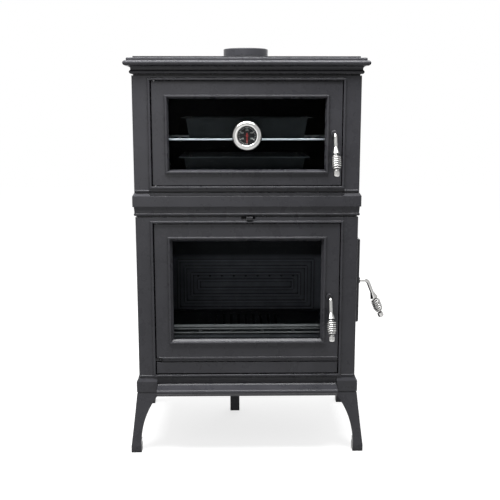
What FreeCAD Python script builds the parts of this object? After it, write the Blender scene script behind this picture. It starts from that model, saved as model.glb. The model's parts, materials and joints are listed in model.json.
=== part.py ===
import FreeCAD, Part
import math
import os

# Freestanding cast iron wood stove: an oven with a glazed door above a firebox with a glazed door,
# a side loading door, an ash drawer and a flue spigot, on four flared legs.
# Millimetres. x runs across the front, y from the front face to the back, z up from the floor.

V = FreeCAD.Vector

# Body sizes
oven_width = 582.0
firebox_width = 580.0
body_depth = 345.0
front_wall = 12.0
panel_wall = 8.0
leg_height = 165.0
base_height = 41.0
firebox_height = 436.0
mid_height = 60.0
oven_height = 300.0
top_height = 44.0

# Clearances shared by every piece
door_gap = 2.0
seat_gap = 0.3
pin_clear = 0.05
overrun = 10.0

# Raised beads on the front
bead_width = 6.5
bead_rise = 4.5
bead_round = 2.2
corner_round = 3.0
joint_height = 3.6
joint_depth = 4.0
base_bead_height = 5.0
base_bead_rise = 3.0
base_bead_round = 2.2

# Top plate moulding, from its underside up
top_bead_radius = 5.0
top_cove_start = 2.0
top_cove_height = 10.0
top_overhang = 19.0
top_lip_radius = 6.5
top_ledge = 5.5
top_step_inset = 8.0
top_step_height = 7.0
top_step_round = 3.0
top_field_inset = 15.0
top_roof = 10.0
pocket_inset = 14.0

# Mid plate moulding, from its underside up
mid_bead_half = 4.0
mid_bead_rise = 3.2
mid_inset = 1.0
mid_cove_rise = 1.8
mid_ledge = 3.0
mid_cove_height = 16.0
mid_cove_share = 0.6
mid_fascia_rise = 5.0
mid_fascia_height = 27.5
mid_roof = 12.0
mid_scoop_margin = 8.0
scoop_round = 8.0
smoke_hole_width = 280.0
smoke_hole_depth = 75.0
smoke_hole_back = 40.0
liner_rib_wall = 8.0
liner_rib_inset = 70.0

# Base plate moulding, from its underside up
base_rise = 6.5
base_block_height = 29.0
base_slope_height = 9.0
base_top_rise = 1.5
base_roof = 12.0
base_scoop_gap = 0.5
boss_size = 45.0
pan_rail_height = 10.7
pan_rail_wall = 8.0
pan_rail_inset = 35.0

# Flue collar
flue_radius = 62.0
flue_wall = 6.0
flue_back = 110.0
flue_flange_radius = 82.0
flue_flange = 8.0
spigot_height = 24.0
flue_rim_round = 2.5
flue_bolt_radius = 3.0
flue_bolt_head = 6.0
flue_bolt_head_height = 4.0
flue_bolt_spread = 146.0
flue_bolt_depth = 8.0

# Legs, measured outward from the corner planes of the firebox
leg_neck = 4.5
leg_neck_height = 2.0
leg_top_rise = 6.0
leg_mid_rise = 14.0
leg_mid_height = 90.0
leg_ankle_rise = 22.0
leg_ankle_height = 24.0
leg_toe_rise = 23.0
leg_toe_height = 18.0
leg_toe_width = 27.5
leg_top_width = 54.0
leg_shoulder_height = 154.0
leg_inner_mid = 14.5
leg_inner_ankle = 3.5
leg_wall = 10.0
leg_flange = 10.0
leg_solid_height = 34.0

# Centre support foot
foot_x = -34.0
foot_rear = 55.0
foot_side = 28.0
foot_flange_side = 60.0
foot_flange = 6.0

# Ash lip in front of the base
lip_inset = 2.4
lip_top = 19.0
lip_reach = 34.0
lip_nose_radius = 6.0
lip_nose_height = 10.0
lip_drop = 5.0
lip_toe_reach = 26.0
lip_back_bead = 3.0

# Tie rods
tie_radius = 4.0
tie_hole = 4.5
tie_nut_flats = 13.0
tie_nut_height = 6.5
tie_side = 20.0
tie_front = 18.0
tie_back = 20.0
tie_grip = 6.0

# Door leaves and their landings in the front plates
door_stile = 47.0
leaf_wall = 12.0
landing_front = 16.0
landing_wall = 8.0
landing_lap = 11.5
hinge_inset = 7.0
hinge_round = 2.0
edge_round = 1.5
hinge_pin_radius = 2.8
hinge_pin_in_leaf = 14.0
hinge_pin_in_frame = 5.5
rope_width = 5.5
rope_inset = 4.8
rope_groove = 2.5
rope_round_share = 0.4
glass_wall = 5.0
glass_lap = 6.5
clip_width = 36.0
clip_height = 18.0
clip_wall = 2.0
clip_lap = 5.0
clip_place_share = 0.55
screw_radius = 2.5
screw_head = 4.5
screw_head_height = 2.5
screw_depth = 8.0

# Oven front: heights above the oven's underside
oven_door_low = 18.8
oven_door_top = 17.9
oven_opening_low = 35.0
oven_opening_top = 29.0
oven_glass_side = 43.5
oven_glass_low = 59.2
oven_glass_top = 61.7
oven_bevel = 3.5
oven_ring_side = 13.0
oven_ring_end = 8.0
oven_base_bead_low = 2.5

# Oven inside
liner_wall = 3.0
liner_side = 18.5
liner_back_gap = 50.0
runner_width = 14.0
runner_wall = 3.0
runner_share = 0.3233
rack_rod = 3.0
rack_wire = 2.0
rack_wires = 15
rack_side_gap = 3.0
rack_front_gap = 18.0
rack_back_gap = 8.0
tray_width = 318.0
tray_rear = 83.0
tray_height = 54.0
tray_taper = 9.0
tray_rim = 12.5
tray_wall = 1.5
tray_front_gap = 24.0
lower_tray_shift = -6.0

# Oven thermometer
thermo_share = 0.4867
bezel_radius = 39.0
bezel_mouth = 24.5
bezel_rise = 9.0
bezel_side = 4.0
bezel_lip = 1.2
bezel_dome_share = 0.72
lens_radius = 26.5
lens_wall = 1.5
lens_rise = 4.6
dial_radius = 32.0
dial_rise = 0.5
stem_radius = 4.5
stem_hole = 5.0
stem_length = 25.0
stem_nut_flats = 16.0
stem_nut_height = 5.0
pivot_radius = 1.2
pivot_rise = 2.4
needle_hub = 3.0
needle_wall = 1.0
needle_gap = 0.6
needle_length = 20.5
needle_tail = 7.0
needle_width = 2.2
needle_tip = 0.8

# Fire front: heights above the firebox's underside
fire_door_low = 42.5
fire_door_top = 21.6
fire_opening_low = 63.0
fire_opening_top = 34.0
fire_glass_side = 48.0
fire_glass_low = 103.7
fire_glass_top = 67.8
fire_bevel = 6.0
fire_rail_low = 48.5
fire_rail_rise = 2.5
fire_rail_round = 1.8
fire_ring_side = 6.0
fire_ring_end = 6.0
fire_lug_height = 8.0
fire_lug_front = 3.0
ash_front_low = 8.5
ash_front_high = 40.5
ash_opening_side = 18.0
ash_opening_low = 10.0
ash_opening_high = 38.5
pan_gap = 3.0
pan_wall = 2.0
pan_back_gap = 42.0

# Firebox inside
ledge_width = 12.0
ledge_height = 8.0
firebed_low = 94.0
firebed_wall = 8.0
firebed_side_gap = 1.0
fire_plate_wall = 8.0
fire_plate_inset = 10.5
fire_plate_front = 2.0
lining_gap = 62.0
smoke_gap = 29.0
baffle_wall = 8.0
baffle_front = 90.0
grate_width = 222.0
grate_rear = 75.0
grate_front = 110.0
grate_wall = 10.0
grate_lip = 7.0
grate_step = 6.0
grate_slot = 8.0
grate_slots = 9
grate_margin = 14.0
grate_clear = 1.0
panel_pattern_side = 66.0
panel_pattern_low = 6.0
panel_pattern_high = 159.0
panel_pattern_pitch = 20.2
panel_rib_width = 6.0
panel_rib_rise = 3.0
air_holes = 9
air_hole_radius = 3.5
air_hole_pitch = 36.0
air_hole_rise = 109.0
guard_side = 16.5
guard_front = 52.0
guard_wall = 8.0
guard_low_rail = 8.6
guard_slot = 5.0
guard_top_rail = 13.4
guard_posts = 6
guard_post_width = 9.0
guard_bead = 4.8
guard_bead_rise = 3.0
guard_bead_round = 2.0
guard_bead_gap = 0.8

# Secondary air slide
slide_slot_left = -15.0
slide_slot_right = 21.0
slide_slot_height = 9.0
slide_bar_half = 75.0
slide_bar_wall = 3.0
slide_bar_height = 11.8
slide_tab_left = -2.0
slide_tab_right = 15.0
slide_tab_low = 5.8
slide_tab_wall = 5.0
slide_tab_rise = 6.5
slide_flap_wall = 3.0
slide_flap_drop = 4.5
guide_place = 50.0
guide_width = 14.0
guide_wall = 3.0
guide_height = 9.5

# Side loading door, heights above the firebox's underside
side_door_front = 60.0
side_door_rear = 55.0
side_door_low = 134.0
side_door_top = 72.0
side_lap = 12.0
side_stand_off = 4.0
side_door_round = 4.0
side_rope_inset = 2.5
side_axis_gap = 10.0
knuckle_radius = 7.0
knuckle_height = 20.0
lug_height = 12.0
knuckle_inset = 35.0
side_pin_radius = 3.0

# Handles, measured from the shaft's axis at the leaf's outer face
oven_handle_side = 20.5
oven_handle_share = 0.502
fire_handle_side = 25.0
fire_handle_share = 0.5034
side_handle_inset = 26.0
side_handle_share = 0.562
handle_lean_deg = 22.0
handle_rod = 4.8
handle_bend = 12.0
handle_reach = 26.0
boss_radius = 8.5
boss_rise = 5.0
boss_round = 1.5
handle_core = 2.4
bell_start = 36.0
bell_length = 17.0
bell_radius = 10.6
grip_recess = 6.8
grip_recess_depth = 7.5
coil_length = 46.0
coil_tail = 3.5
coil_turns = 7.25
coil_wire = 3.8
coil_end_radius = 4.6
coil_mid_radius = 11.1
coil_first_turns = 1.25
coil_last_turns = 2.5
coil_lead_share = 0.2
coil_step_share = 1e-4
cap_radius = 7.9
cap_length = 14.0
cap_tip = 2.0
cap_straight_share = 0.545
cap_shoulder_share = 0.785
cap_shoulder_reach_share = 0.855
cap_seat = 2.5
tongue_back = 25.0
tongue_wall = 4.0
tongue_hub = 7.0
tongue_width = 14.0
tongue_length = 23.0
shaft_tail = 2.0

# Levels and faces worked out from the sizes above
base_z = leg_height
fire_z = base_z + base_height
mid_z = fire_z + firebox_height
oven_z = mid_z + mid_height
top_z = oven_z + oven_height
roof_z = top_z + top_height
fire_half = firebox_width / 2
oven_half = oven_width / 2
back_inner = body_depth - panel_wall
landing_back = landing_front + landing_wall
glass_front = leaf_wall - glass_wall
tie_x = fire_half - tie_side
foot_y = body_depth - foot_rear

# Sizes of the doors and of what stands behind them, from the body's own
door_half = fire_half - door_stile
pocket_half = door_half + door_gap
opening_half = door_half - landing_lap
oven_door_high = oven_height - oven_door_top
oven_opening_high = oven_height - oven_opening_top
oven_glass_half = door_half - oven_glass_side
oven_glass_high = oven_height - oven_glass_top
fire_door_high = firebox_height - fire_door_top
fire_opening_high = firebox_height - fire_opening_top
fire_glass_half = door_half - fire_glass_side
fire_glass_high = firebox_height - fire_glass_top
ash_opening_half = door_half - ash_opening_side
lip_half = door_half - lip_inset
base_scoop_half = lip_half + base_scoop_gap
liner_half = opening_half + liner_side
tray_depth = body_depth - tray_rear - landing_back - tray_front_gap
grate_depth = body_depth - grate_front - grate_rear
guard_half = opening_half - guard_side
side_door_high = firebox_height - side_door_top
side_door_back = body_depth - side_door_rear
side_handle_back = side_door_front + side_handle_inset
oven_handle_x = door_half - oven_handle_side
fire_handle_x = door_half - fire_handle_side


# Shape helpers
def box(x0, x1, y0, y1, z0, z1):
    """Box between two corners."""
    return Part.makeBox(x1 - x0, y1 - y0, z1 - z0, V(x0, y0, z0))


def rod(radius, start, end):
    """Cylinder from one point to another."""
    along = end - start
    return Part.makeCylinder(radius, along.Length, start, along)


def fuse(shapes):
    """One solid from pieces that touch."""
    return shapes[0].fuse(shapes[1:]).removeSplitter()


def round_edges(shape, radius, picks):
    """Fillet the edges that a test picks."""
    return shape.makeFillet(radius, [edge for edge in shape.Edges if picks(edge)])


def edge_runs(edge, axis):
    """True for a straight edge along one axis."""
    span = edge.Vertexes[-1].Point - edge.Vertexes[0].Point
    return abs(span.dot(axis)) > span.Length * math.cos(math.radians(1))


def edge_at(edge, axis, value):
    """True where every point of an edge has one coordinate along an axis."""
    return all(abs(vertex.Point.dot(axis) - value) < pin_clear for vertex in edge.Vertexes)


X = V(1, 0, 0)
Y = V(0, 1, 0)
Z = V(0, 0, 1)


def run_edges(steps, place):
    """Edges along a run of steps: a point is a line to it, a pair of points an arc through the first."""
    edges = []
    last = place(*steps[0])
    for step in steps[1:]:
        if isinstance(step[0], tuple):
            middle = place(*step[0])
            end = place(*step[1])
            edges.append(Part.Arc(last, middle, end).toShape())
        else:
            end = place(*step)
            edges.append(Part.LineSegment(last, end).toShape())
        last = end
    return edges


def prism(steps, place, along):
    """Closed outline, pushed along a vector."""
    edges = run_edges(steps + [steps[0]], place)
    return Part.Face(Part.Wire(edges)).extrude(along)


def moulded_slab(half, low, profile):
    """Slab whose four sides follow one moulding profile of (outward, up) steps."""
    def closed(place_a, place_b):
        run_a = run_edges(profile, place_a)
        run_b = run_edges(profile, place_b)
        ends = [Part.LineSegment(place_a(*point), place_b(*point)).toShape() for point in (profile[0], tip)]
        return Part.Face(Part.Wire(Part.__sortEdges__(run_a + run_b + ends)))

    tip = profile[-1][-1] if isinstance(profile[-1][0], tuple) else profile[-1]
    reach = half + top_overhang + overrun
    across = closed(lambda o, h: V(half + o, -reach, low + h), lambda o, h: V(-half - o, -reach, low + h))
    deep = closed(lambda o, h: V(-reach, -o, low + h), lambda o, h: V(-reach, body_depth + o, low + h))
    return across.extrude(Y * (body_depth + reach * 2)).common(deep.extrude(X * (reach * 2)))


def ring(half, z0, z1, width, y0, y1):
    """Rectangular frame of one band width."""
    hole = box(-half + width, half - width, y0 - overrun, y1 + overrun, z0 + width, z1 - width)
    return box(-half, half, y0, y1, z0, z1).cut(hole)


def bead_ring(half, z0, z1):
    """Raised half-round bead round a rectangle on the front face."""
    band = ring(half, z0, z1, bead_width, -bead_rise, 0)
    return round_edges(band, bead_round, lambda edge: edge_at(edge, Y, -bead_rise))


def bead_strip(x0, x1, z0, height, rise, radius):
    """Straight raised bead on the front face."""
    strip = box(x0, x1, -rise, 0, z0, z0 + height)
    return round_edges(strip, radius, lambda edge: edge_at(edge, Y, -rise) and edge_runs(edge, X))


def hexagon(flats, low, height, x, y):
    """Hexagonal prism standing on a level."""
    corner = flats / math.sqrt(3)
    points = [(x + corner * math.cos(math.radians(a)), y + corner * math.sin(math.radians(a)))
              for a in range(0, 360, 60)]
    return prism(points, lambda u, v: V(u, v, low), Z * height)


def scoop(half, low, high, front, back):
    """Cutter with rounded lower corners that clears the middle of a moulding."""
    bend = scoop_round * (1 - math.sqrt(0.5))
    steps = [(-half, high), (-half, low + scoop_round),
             ((-half + bend, low + bend), (-half + scoop_round, low)), (half - scoop_round, low),
             ((half - bend, low + bend), (half, low + scoop_round)), (half, high)]
    return prism(steps, lambda u, v: V(u, front, v), Y * (back - front))


# Top plate with its moulded edge, and the flue collar
flue_y = body_depth - flue_back
flue_bore = flue_radius - flue_wall
tie_spots = [(side * tie_x, y) for side in (-1, 1) for y in (tie_front, body_depth - tie_back)]


def top_plate():
    bead_top = top_bead_radius * 2
    lip_low = bead_top + top_cove_height
    lip_out = top_overhang - top_lip_radius
    lip_high = lip_low + top_lip_radius * 2
    step_out = top_overhang - top_step_inset
    step_high = lip_high + top_step_height
    field_out = step_out - top_field_inset
    bend = top_step_round * (1 - math.sqrt(0.5))
    ledge_in = lip_out - top_ledge
    cove_mid = (ledge_in - (ledge_in - top_cove_start) * math.sqrt(0.5),
                bead_top + top_cove_height * math.sqrt(0.5))
    profile = [(0, 0), ((top_bead_radius, top_bead_radius), (0, bead_top)), (top_cove_start, bead_top),
               (cove_mid, (ledge_in, lip_low)), (lip_out, lip_low),
               ((top_overhang, lip_low + top_lip_radius), (lip_out, lip_high)), (step_out, lip_high),
               (step_out, step_high - top_step_round),
               ((step_out - bend, step_high - bend), (step_out - top_step_round, step_high)),
               (field_out, step_high), (field_out, top_height)]
    plate = moulded_slab(oven_half, top_z, profile)
    inner = oven_half - pocket_inset
    plate = plate.cut(box(-inner, inner, pocket_inset, body_depth - pocket_inset, top_z - overrun,
                          roof_z - top_roof))
    cuts = [rod(flue_bore, V(0, flue_y, top_z), V(0, flue_y, roof_z + overrun))]
    for x, y in tie_spots:
        cuts.append(rod(tie_radius + pin_clear, V(x, y, top_z), V(x, y, roof_z - top_roof + tie_grip)))
    for side in (-1, 1):
        x = side * flue_bolt_spread / 2
        cuts.append(rod(flue_bolt_radius + pin_clear, V(x, flue_y, roof_z - flue_bolt_depth),
                        V(x, flue_y, roof_z + overrun)))
    return plate.cut(cuts)


def flue_collar():
    flange_top = roof_z + flue_flange
    tube_top = flange_top + spigot_height
    tube = rod(flue_radius, V(0, flue_y, roof_z), V(0, flue_y, tube_top))
    collar = fuse([rod(flue_flange_radius, V(0, flue_y, roof_z), V(0, flue_y, flange_top)), tube])
    collar = round_edges(collar, flue_rim_round, lambda edge: edge_at(edge, Z, tube_top))
    cuts = [rod(flue_bore, V(0, flue_y, roof_z - overrun), V(0, flue_y, tube_top + overrun))]
    for side in (-1, 1):
        x = side * flue_bolt_spread / 2
        cuts.append(rod(flue_bolt_radius + pin_clear, V(x, flue_y, roof_z - overrun),
                        V(x, flue_y, flange_top + overrun)))
    return collar.cut(cuts)


def frame_fasteners():
    """Tie rods from the legs to the top plate, their nuts, and the flue bolts."""
    solids = []
    flange_low = leg_height - leg_flange
    for x, y in tie_spots:
        solids.append(rod(tie_radius, V(x, y, flange_low - tie_nut_height),
                          V(x, y, roof_z - top_roof + tie_grip)))
        bore = rod(tie_radius, V(x, y, 0), V(x, y, leg_height))
        solids.append(hexagon(tie_nut_flats, flange_low - tie_nut_height, tie_nut_height, x, y).cut(bore))
    head_low = roof_z + flue_flange
    for side in (-1, 1):
        x = side * flue_bolt_spread / 2
        shank = rod(flue_bolt_radius, V(x, flue_y, roof_z - flue_bolt_depth), V(x, flue_y, head_low))
        head = rod(flue_bolt_head, V(x, flue_y, head_low), V(x, flue_y, head_low + flue_bolt_head_height))
        solids.append(fuse([shank, head]))
    return solids


# Mid plate between the firebox and the oven, and the base plate
def tie_holes(low, high):
    return [rod(tie_hole, V(x, y, low - overrun), V(x, y, high + overrun)) for x, y in tie_spots]


def mid_plate():
    bead_top = mid_bead_half * 2
    cove_top = bead_top + mid_cove_height
    fascia_top = cove_top + mid_fascia_height
    cove_in = mid_cove_rise - mid_inset
    ledge_in = mid_fascia_rise - mid_ledge
    cove_mid = (cove_in + (ledge_in - cove_in) * (1 - mid_cove_share),
                bead_top + mid_cove_height * mid_cove_share)
    profile = [(-mid_inset, 0), ((mid_bead_rise - mid_inset, mid_bead_half), (-mid_inset, bead_top)),
               (cove_in, bead_top), (cove_mid, (ledge_in, cove_top)), (mid_fascia_rise, cove_top),
               (mid_fascia_rise, fascia_top), (0, mid_height)]
    plate = moulded_slab(oven_half, mid_z, profile)
    inner = oven_half - pocket_inset
    pocket = box(-inner, inner, pocket_inset, body_depth - pocket_inset, mid_z - overrun, oven_z - mid_roof)
    smoke_back = body_depth - smoke_hole_back
    smoke = box(-smoke_hole_width / 2, smoke_hole_width / 2, smoke_back - smoke_hole_depth, smoke_back,
                mid_z, oven_z + overrun)
    clear = scoop(pocket_half + mid_scoop_margin, mid_z + fascia_top, oven_z + overrun, -overrun, 0)
    plate = plate.cut([pocket, smoke, clear] + tie_holes(mid_z, oven_z))
    ribs = []
    for side in (-1, 1):
        x = side * (liner_half - liner_rib_inset)
        ribs.append(box(x - liner_rib_wall / 2, x + liner_rib_wall / 2, landing_back + overrun,
                        back_inner - liner_back_gap,
                        oven_z, oven_z + oven_opening_low - liner_wall))
    return fuse([plate] + ribs)


def base_plate():
    slope_top = base_block_height + base_slope_height
    profile = [(base_rise, 0), (base_rise, base_block_height), (base_top_rise, slope_top),
               (base_top_rise, base_height)]
    plate = moulded_slab(fire_half, base_z, profile)
    inner = fire_half - pocket_inset
    back = body_depth - pocket_inset
    pocket = box(-inner, inner, pocket_inset, back, base_z - overrun, fire_z - base_roof)
    for x0 in (-inner, inner - boss_size):
        for y0 in (pocket_inset, back - boss_size):
            pocket = pocket.cut(box(x0, x0 + boss_size, y0, y0 + boss_size, base_z - overrun, fire_z))
    clear = prism([(-base_scoop_half, base_z - overrun), (-base_scoop_half, base_z + slope_top),
                   (base_scoop_half, base_z + slope_top), (base_scoop_half, base_z - overrun)],
                  lambda u, v: V(u, -overrun, v), Y * overrun)
    plate = plate.cut([pocket, clear] + tie_holes(base_z, fire_z))
    rails = []
    for side in (-1, 1):
        x = side * (ash_opening_half - pan_rail_inset)
        rails.append(box(x - pan_rail_wall / 2, x + pan_rail_wall / 2, landing_back + door_gap,
                         back_inner - door_gap,
                         fire_z, fire_z + pan_rail_height))
    return fuse([plate] + rails)


def ash_lip():
    top = base_z + lip_top
    nose_z = base_z + lip_nose_height
    low = base_z - lip_drop
    nose_top = nose_z + lip_nose_radius
    nose_low = nose_z - lip_nose_radius
    steps = [(0, low), (-lip_toe_reach, low), (-lip_reach, nose_low),
             ((-lip_reach - lip_nose_radius, nose_z), (-lip_reach, nose_top)),
             (-lip_reach + lip_nose_radius, nose_top), (-lip_nose_radius, top), (-lip_back_bead,
                                                                                 top + lip_back_bead),
             (0, top + lip_back_bead)]
    return prism(steps, lambda u, v: V(-lip_half, u, v), X * (lip_half * 2))


# Legs: one flared profile seen from the front and from the side
def leg(side, end):
    """Leg at one corner: side is -1 left or 1 right, end is -1 front or 1 back."""
    x = side * fire_half
    y = 0 if end < 0 else body_depth
    reach = leg_top_width + leg_toe_rise + overrun
    toe_inner = leg_toe_width - leg_toe_rise
    steps = [(leg_neck, leg_height), (leg_neck, leg_height - leg_neck_height),
             (leg_top_rise, leg_height - leg_neck_height * 2),
             ((leg_mid_rise, leg_mid_height), (leg_ankle_rise, leg_ankle_height)),
             (leg_toe_rise, leg_toe_height), (leg_toe_rise, 0), (-toe_inner, 0), (-toe_inner, leg_toe_height),
             (-leg_inner_ankle, leg_ankle_height),
             ((-leg_inner_mid, leg_mid_height), (leg_top_rise - leg_top_width, leg_shoulder_height)),
             (leg_top_rise - leg_top_width, leg_height)]

    def solid(shift):
        """The profile pushed along both ways, drawn in from the corner by a shift."""
        across = prism(steps, lambda o, h: V(x + side * (o - shift), y - reach, h), Y * (reach * 2))
        deep = prism(steps, lambda o, h: V(x - reach, y + end * (o - shift), h), X * (reach * 2))
        return across.common(deep)

    outer = solid(0)
    window = box(x - reach, x + reach, y - reach, y + reach, leg_solid_height, leg_height - leg_flange)
    hollow = solid(leg_wall).common(window)
    tie = [spot for spot in tie_spots if spot[0] * side > 0 and (spot[1] - body_depth / 2) * end > 0][0]
    bore = rod(tie_hole, V(tie[0], tie[1], leg_solid_height), V(tie[0], tie[1], leg_height + overrun))
    return outer.cut([hollow, bore])


def centre_foot():
    top = fire_z - base_roof
    half = foot_side / 2
    wide = foot_flange_side / 2
    post = box(foot_x - half, foot_x + half, foot_y - half, foot_y + half, 0, top)
    flange = box(foot_x - wide, foot_x + wide, foot_y - wide, foot_y + wide, top - foot_flange, top)
    return fuse([post, flange])


# Front plates with their door pockets and landings
def joint_groove(half, low):
    """Shadow groove round a box of plates, in the height of one joint above a level."""
    outer = box(-half - overrun, half + overrun, -overrun, body_depth + overrun, low, low + joint_height)
    inner = half - joint_depth
    return outer.cut(box(-inner, inner, joint_depth, body_depth + overrun * 2, low - overrun,
                         low + joint_height + overrun))


def front_plate(half, low, height, door_low, door_high, ring_side, ring_end, openings):
    plate = box(-half, half, 0, front_wall, low, low + height)
    plate = round_edges(plate, corner_round, lambda edge: edge_runs(edge, Z) and edge_at(edge, Y, 0))
    z0 = low + door_low - door_gap
    z1 = low + door_high + door_gap
    wide = pocket_half + ring_side
    plate = fuse([plate, box(-wide, wide, 0, landing_back, z0 - ring_end, z1 + ring_end)])
    cuts = [box(-pocket_half, pocket_half, -overrun, landing_front, z0, z1)]
    for open_half, open_low, open_high in openings:
        cuts.append(box(-open_half, open_half, -overrun, landing_back + overrun, low + open_low,
                        low + open_high))
    plate = plate.cut(cuts + [joint_groove(half, low + height - joint_height)])
    bead_half = pocket_half + bead_width
    return fuse([plate, bead_ring(bead_half, z0 - bead_width, z1 + bead_width)])


hinge_x = -(door_half - hinge_inset)
hinge_y = leaf_wall / 2


def hinge_pin_spans(low, high):
    """Ends of the lower and upper pivot pins of a leaf, from the leaf into the frame."""
    reach = door_gap + hinge_pin_in_frame
    return [(low - reach, low + hinge_pin_in_leaf), (high - hinge_pin_in_leaf, high + reach)]


def pin_holes(spans, radius):
    return [rod(radius, V(hinge_x, hinge_y, a), V(hinge_x, hinge_y, b)) for a, b in spans]


oven_pins = hinge_pin_spans(oven_z + oven_door_low, oven_z + oven_door_high)
fire_pins = hinge_pin_spans(fire_z + fire_door_low, fire_z + fire_door_high)
fire_pins[0] = (fire_z + fire_door_low + fire_lug_height - hinge_pin_in_frame,
                fire_z + fire_door_low + fire_lug_height + door_gap + hinge_pin_in_leaf)


def corner_beads(half, low):
    inner = pocket_half + bead_width
    return [bead_strip(x, x + half - inner - corner_round, low, base_bead_height, base_bead_rise,
                       base_bead_round)
            for x in (inner, -half + corner_round)]


def oven_front_plate():
    plate = front_plate(oven_half, oven_z, oven_height, oven_door_low, oven_door_high, oven_ring_side,
                        oven_ring_end,
                        [(opening_half, oven_opening_low, oven_opening_high)])
    plate = fuse([plate] + corner_beads(oven_half, oven_z + oven_base_bead_low))
    frame_half = pocket_half + bead_width
    groove = box(-frame_half, frame_half, -overrun, joint_depth, oven_z - overrun, oven_z + joint_height)
    return plate.cut([groove] + pin_holes(oven_pins, hinge_pin_radius + pin_clear))


fire_ring_top = fire_z + fire_door_high + door_gap + fire_ring_end
guide_front = front_wall + seat_gap * 2 + slide_bar_wall


def firebox_front_plate():
    plate = front_plate(fire_half, fire_z, firebox_height, ash_front_low, fire_door_high, fire_ring_side,
                        fire_ring_end,
                        [(opening_half, fire_opening_low, fire_opening_high),
                         (ash_opening_half, ash_opening_low, ash_opening_high)])
    lug_low = fire_z + fire_door_low
    extras = [box(-pocket_half, hinge_x + hinge_inset, fire_lug_front, landing_back, lug_low,
                  lug_low + fire_lug_height)]
    for side in (-1, 1):
        x = side * guide_place
        extras.append(box(x - guide_width / 2, x + guide_width / 2, guide_front, guide_front + guide_wall,
                          fire_ring_top, fire_ring_top + guide_height))
    plate = fuse([plate] + corner_beads(fire_half, fire_z) + extras)
    slot = box(slide_slot_left, slide_slot_right, -overrun, front_wall + overrun, mid_z - slide_slot_height,
               mid_z + overrun)
    return plate.cut([slot] + pin_holes(fire_pins, hinge_pin_radius + pin_clear))


# Side and back panels
def side_panel(half, side, low, height):
    face = side * half
    inner = side * (half - panel_wall)
    panel = box(min(face, inner), max(face, inner), front_wall, back_inner, low, low + height)
    return panel.cut(joint_groove(half, low + height - joint_height))


def back_panel(half, low, height):
    return box(-half, half, back_inner, body_depth, low, low + height)


firebed_z = fire_z + firebed_low
firebed_back = back_inner - smoke_gap + fire_plate_wall


def firebox_side_panel(side):
    panel = side_panel(fire_half, side, fire_z, firebox_height)
    inner = side * (fire_half - panel_wall)
    edge = inner - side * ledge_width
    ledge = box(min(inner, edge), max(inner, edge), landing_back + door_gap, firebed_back - door_gap,
                firebed_z - ledge_height, firebed_z)
    return fuse([panel, ledge])


side_x = fire_half + side_stand_off + leaf_wall
side_axis_x = fire_half + side_stand_off + leaf_wall / 2
side_axis_y = side_door_back + side_axis_gap
side_handle_z = fire_z + firebox_height * side_handle_share
knuckle_lows = [fire_z + side_door_low + knuckle_inset,
                fire_z + side_door_high - knuckle_inset - knuckle_height]


def side_opening(x0, x1):
    return box(x0, x1, side_door_front + side_lap, side_door_back - side_lap,
               fire_z + side_door_low + side_lap, fire_z + side_door_high - side_lap)


def firebox_right_panel():
    panel = firebox_side_panel(1)
    lugs = []
    bores = []
    for low in knuckle_lows:
        z1 = low - seat_gap
        z0 = z1 - lug_height
        lugs.append(rod(knuckle_radius, V(side_axis_x, side_axis_y, z0), V(side_axis_x, side_axis_y, z1)))
        lugs.append(box(fire_half - panel_wall / 2, side_axis_x, side_axis_y - knuckle_radius,
                        side_axis_y + knuckle_radius, z0, z1))
        bores.append(rod(side_pin_radius + pin_clear, V(side_axis_x, side_axis_y, z0),
                         V(side_axis_x, side_axis_y, z1 + overrun)))
    panel = fuse([panel] + lugs)
    return panel.cut(bores + [side_opening(fire_half - panel_wall - overrun, fire_half + overrun)])


def hinge_pins():
    solids = pin_holes(oven_pins + fire_pins, hinge_pin_radius)
    for low in knuckle_lows:
        z0 = low - seat_gap - lug_height
        solids.append(rod(side_pin_radius, V(side_axis_x, side_axis_y, z0),
                          V(side_axis_x, side_axis_y, low + knuckle_height)))
    return solids


# Oven liner, rack and trays
liner_low = oven_z + oven_opening_low
liner_high = oven_z + oven_opening_high
liner_back = back_inner - liner_back_gap
runner_top = liner_low + oven_height * runner_share
rack_z = runner_top + rack_rod


def oven_liner():
    outer = box(-liner_half - liner_wall, liner_half + liner_wall, landing_back, liner_back,
                liner_low - liner_wall, liner_high + liner_wall)
    inside = box(-liner_half, liner_half, landing_back - overrun, liner_back - liner_wall, liner_low,
                 liner_high)
    shell = outer.cut(inside)
    runners = []
    for x0 in (-liner_half, liner_half - runner_width):
        runners.append(box(x0, x0 + runner_width, landing_back + runner_width, liner_back - liner_wall,
                           runner_top - runner_wall, runner_top))
    return fuse([shell] + runners)


def oven_rack():
    z = rack_z
    half = liner_half - rack_side_gap - rack_rod
    front = landing_back + rack_front_gap
    back = liner_back - liner_wall - rack_back_gap
    rods = [rod(rack_rod, V(-half, y, z), V(half, y, z)) for y in (front, back)]
    rods += [rod(rack_rod, V(side * half, front, z), V(side * half, back, z)) for side in (-1, 1)]
    for corner_x in (-half, half):
        for corner_y in (front, back):
            rods.append(Part.makeSphere(rack_rod, V(corner_x, corner_y, z)))
    pitch = 2 * half / (rack_wires + 1)
    for index in range(rack_wires):
        x = -half + pitch * (index + 1)
        rods.append(rod(rack_wire, V(x, front, z), V(x, back, z)))
    return fuse(rods)


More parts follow.
